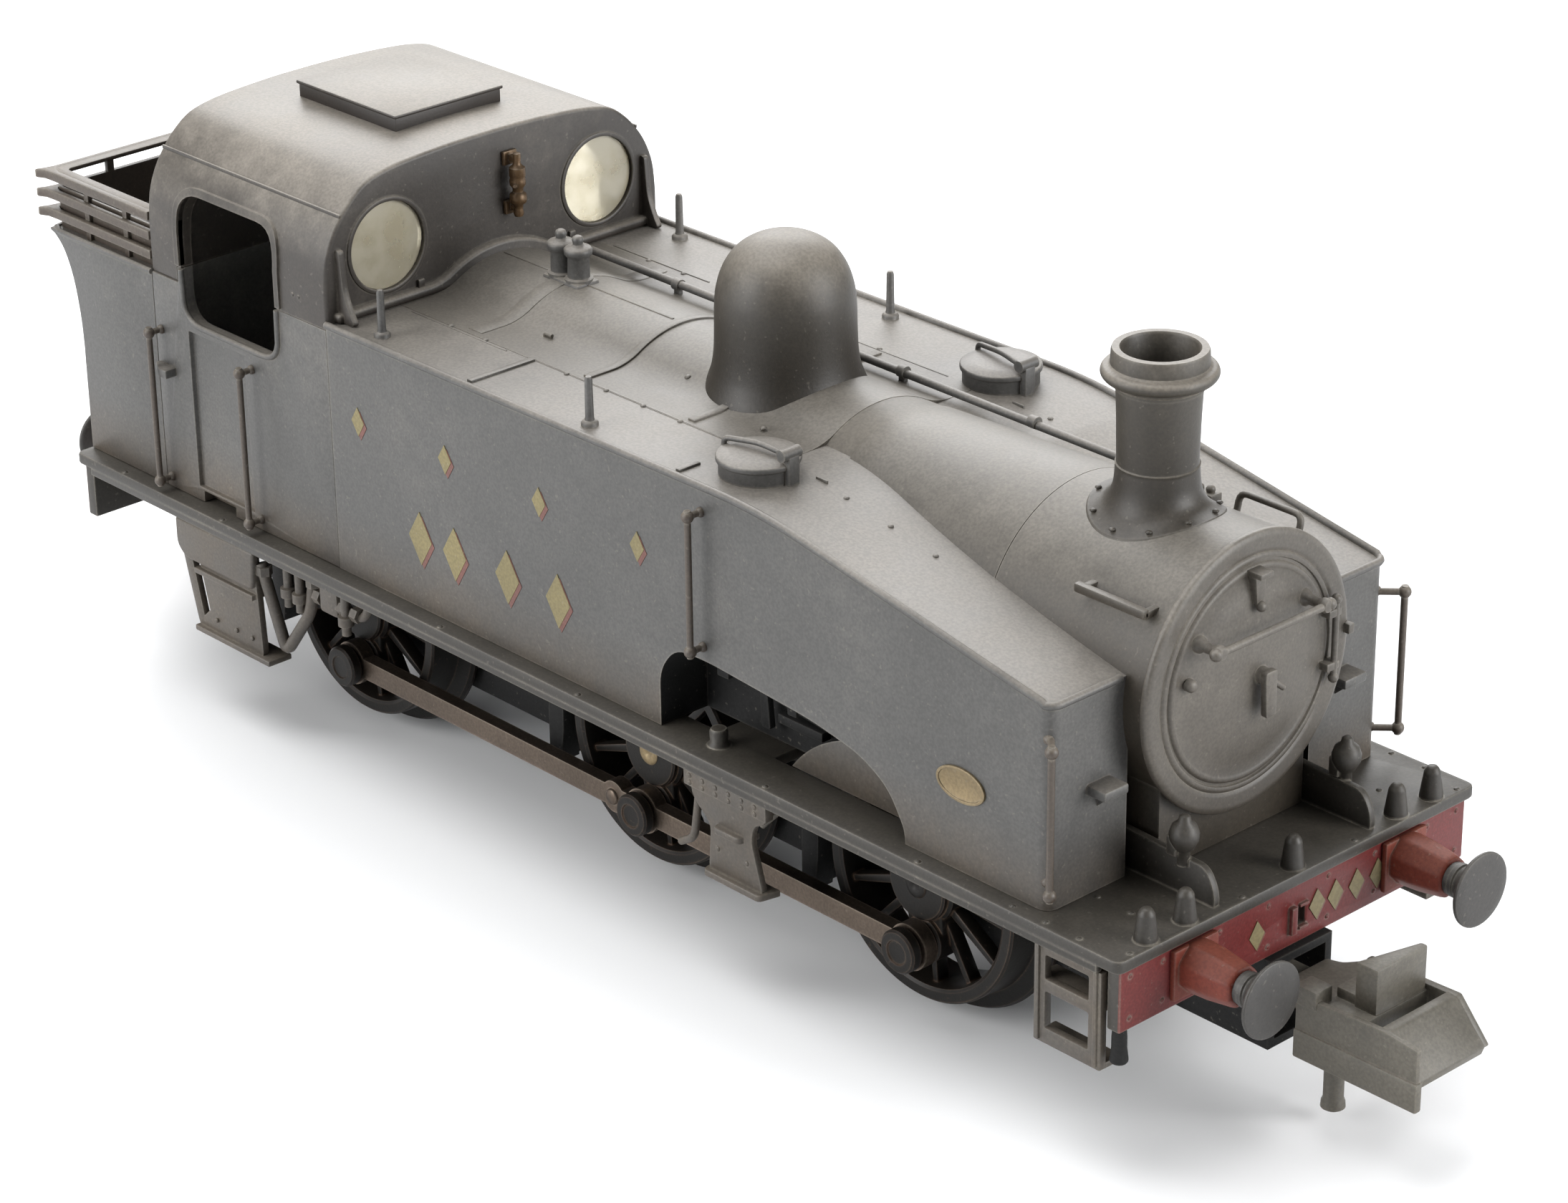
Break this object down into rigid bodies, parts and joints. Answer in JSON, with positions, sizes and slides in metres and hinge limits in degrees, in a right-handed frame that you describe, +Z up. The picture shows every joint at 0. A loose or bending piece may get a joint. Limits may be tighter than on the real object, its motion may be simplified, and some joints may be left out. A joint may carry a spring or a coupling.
{
  "type": "model steam locomotive",
  "caption": "N gauge model tank locomotive with side tanks, enclosed cab and bunker, coupled spoked wheels that turn with their rods, and sprung couplers.",
  "frame": {"origin": "under the middle of the locomotive over couplers, level with the bottom of the wheel flanges", "axes": "+X forward to the chimney and smokebox door, +Y to the locomotive's left, +Z up"},
  "size_m": [0.0762, 0.0194, 0.027],
  "materials": {
    "charcoal": "matte",
    "dusty": "matte",
    "soot": "matte",
    "crimson": "matte",
    "red": "matte",
    "plate": "matte",
    "bronze": "satin",
    "glazing": "gloss",
    "coal": "matte",
    "rail": "matte",
    "coupler": "matte",
    "diecast": "matte",
    "black": "matte",
    "steel": "satin",
    "wheel": "satin",
    "nylon": "matte",
    "motor": "satin",
    "brass": "satin"
  },
  "bodies": {
    "locomotive": {"footplate": "plate", "buffer_beam_front": "crimson", "buffer_beam_rear": "crimson", "buffer_front_right": "red", "buffer_front_left": "red", "buffer_rear_right": "red", "buffer_rear_left": "red", "boiler": "dusty", "smokebox": "dusty", "smokebox_door": "dusty", "chimney": "dusty", "dome": "dusty", "safety_valves": "charcoal", "whistle": "bronze", "boiler_pipe_left": "charcoal", "side_tank_right": "charcoal", "side_tank_left": "charcoal", "cab_shell": "soot", "cab_lower": "charcoal", "roof_hatch": "soot", "window_glazing_front": "glazing", "window_glazing_rear": "glazing", "bunker": "charcoal", "coal_load": "coal", "coal_rails": "rail", "front_steps_right": "charcoal", "front_steps_left": "charcoal", "middle_steps_right": "charcoal", "middle_steps_left": "charcoal", "rear_steps_right": "charcoal", "rear_steps_left": "charcoal", "chassis_block_right": "diecast", "chassis_block_left": "diecast", "keeper_plate": "black", "motor_can": "motor", "handrail_tank_middle_right": "rail", "handrail_tank_middle_left": "rail", "handrail_tank_front_right": "rail", "handrail_tank_front_left": "rail", "handrail_cab_front_right": "rail", "handrail_cab_front_left": "rail", "handrail_cab_rear_right": "rail", "handrail_cab_rear_left": "rail"},
    "driving_wheelset": {"axle_middle": "nylon", "wheel_middle_right": "wheel", "wheel_middle_left": "wheel"},
    "front_wheelset": {"axle_front": "nylon", "wheel_front_right": "wheel", "wheel_front_left": "wheel"},
    "rear_wheelset": {"axle_rear": "nylon", "wheel_rear_right": "wheel", "wheel_rear_left": "wheel"},
    "rod_right": {"coupling_rod_right": "steel"},
    "rod_left": {"coupling_rod_left": "steel"},
    "armature": {"motor_armature": "brass"},
    "idler": {"idler_gear": "nylon"},
    "front_coupler_spring": {"coupler_spring_front": "steel"},
    "front_coupler_arm": {"coupler_front": "coupler"},
    "rear_coupler_spring": {"coupler_spring_rear": "steel"},
    "rear_coupler_arm": {"coupler_rear": "coupler"}
  },
  "joints": [
    {"name": "driving_wheels_spin", "type": "hinge", "parent": "locomotive", "child": "driving_wheelset", "pos_m": [0.00247, 0, 0.00555], "axis": [0, 1, 0], "continuous": true},
    {"name": "front_wheels_spin", "type": "hinge", "parent": "locomotive", "child": "front_wheelset", "pos_m": [0.0174, 0, 0.00555], "axis": [0, 1, 0], "continuous": true},
    {"name": "rear_wheels_spin", "type": "hinge", "parent": "locomotive", "child": "rear_wheelset", "pos_m": [-0.01606, 0, 0.00555], "axis": [0, 1, 0], "continuous": true},
    {"name": "right_rod_turn", "type": "hinge", "parent": "driving_wheelset", "child": "rod_right", "pos_m": [0.0028, -0.0063, 0.00334], "axis": [0, 1, 0], "continuous": true},
    {"name": "left_rod_turn", "type": "hinge", "parent": "driving_wheelset", "child": "rod_left", "pos_m": [0.00026, 0.0063, 0.00522], "axis": [0, 1, 0], "continuous": true},
    {"name": "idler_gear_spin", "type": "hinge", "parent": "locomotive", "child": "idler", "pos_m": [0.00247, 0, 0.00985], "axis": [0, 1, 0], "continuous": true},
    {"name": "motor_spin", "type": "hinge", "parent": "locomotive", "child": "armature", "pos_m": [-0.0064, 0, 0.01345], "axis": [1, 0, 0], "continuous": true},
    {"name": "front_coupler_swing", "type": "hinge", "parent": "locomotive", "child": "front_coupler_spring", "pos_m": [0.0272, 0, 0.0044], "axis": [0, 0, 1], "range_deg": [-10, 10], "stiffness_Nm_per_rad": 0.0003},
    {"name": "front_coupler_lift", "type": "hinge", "parent": "front_coupler_spring", "child": "front_coupler_arm", "pos_m": [0.028, 0, 0.00465], "axis": [0, -1, 0], "range_deg": [0, 6], "stiffness_Nm_per_rad": 0.0003},
    {"name": "rear_coupler_swing", "type": "hinge", "parent": "locomotive", "child": "rear_coupler_spring", "pos_m": [-0.0272, 0, 0.0044], "axis": [0, 0, 1], "range_deg": [-10, 10], "stiffness_Nm_per_rad": 0.0003},
    {"name": "rear_coupler_lift", "type": "hinge", "parent": "rear_coupler_spring", "child": "rear_coupler_arm", "pos_m": [-0.028, 0, 0.00465], "axis": [0, 1, 0], "range_deg": [0, 6], "stiffness_Nm_per_rad": 0.0003}
  ],
  "couplings": [
    {"joint": "front_wheels_spin", "follows": "driving_wheels_spin", "ratio": 1},
    {"joint": "rear_wheels_spin", "follows": "driving_wheels_spin", "ratio": 1},
    {"joint": "right_rod_turn", "follows": "driving_wheels_spin", "ratio": -1},
    {"joint": "left_rod_turn", "follows": "driving_wheels_spin", "ratio": -1},
    {"joint": "idler_gear_spin", "follows": "driving_wheels_spin", "ratio": -0.88889},
    {"joint": "motor_spin", "follows": "driving_wheels_spin", "ratio": 8}
  ]
}
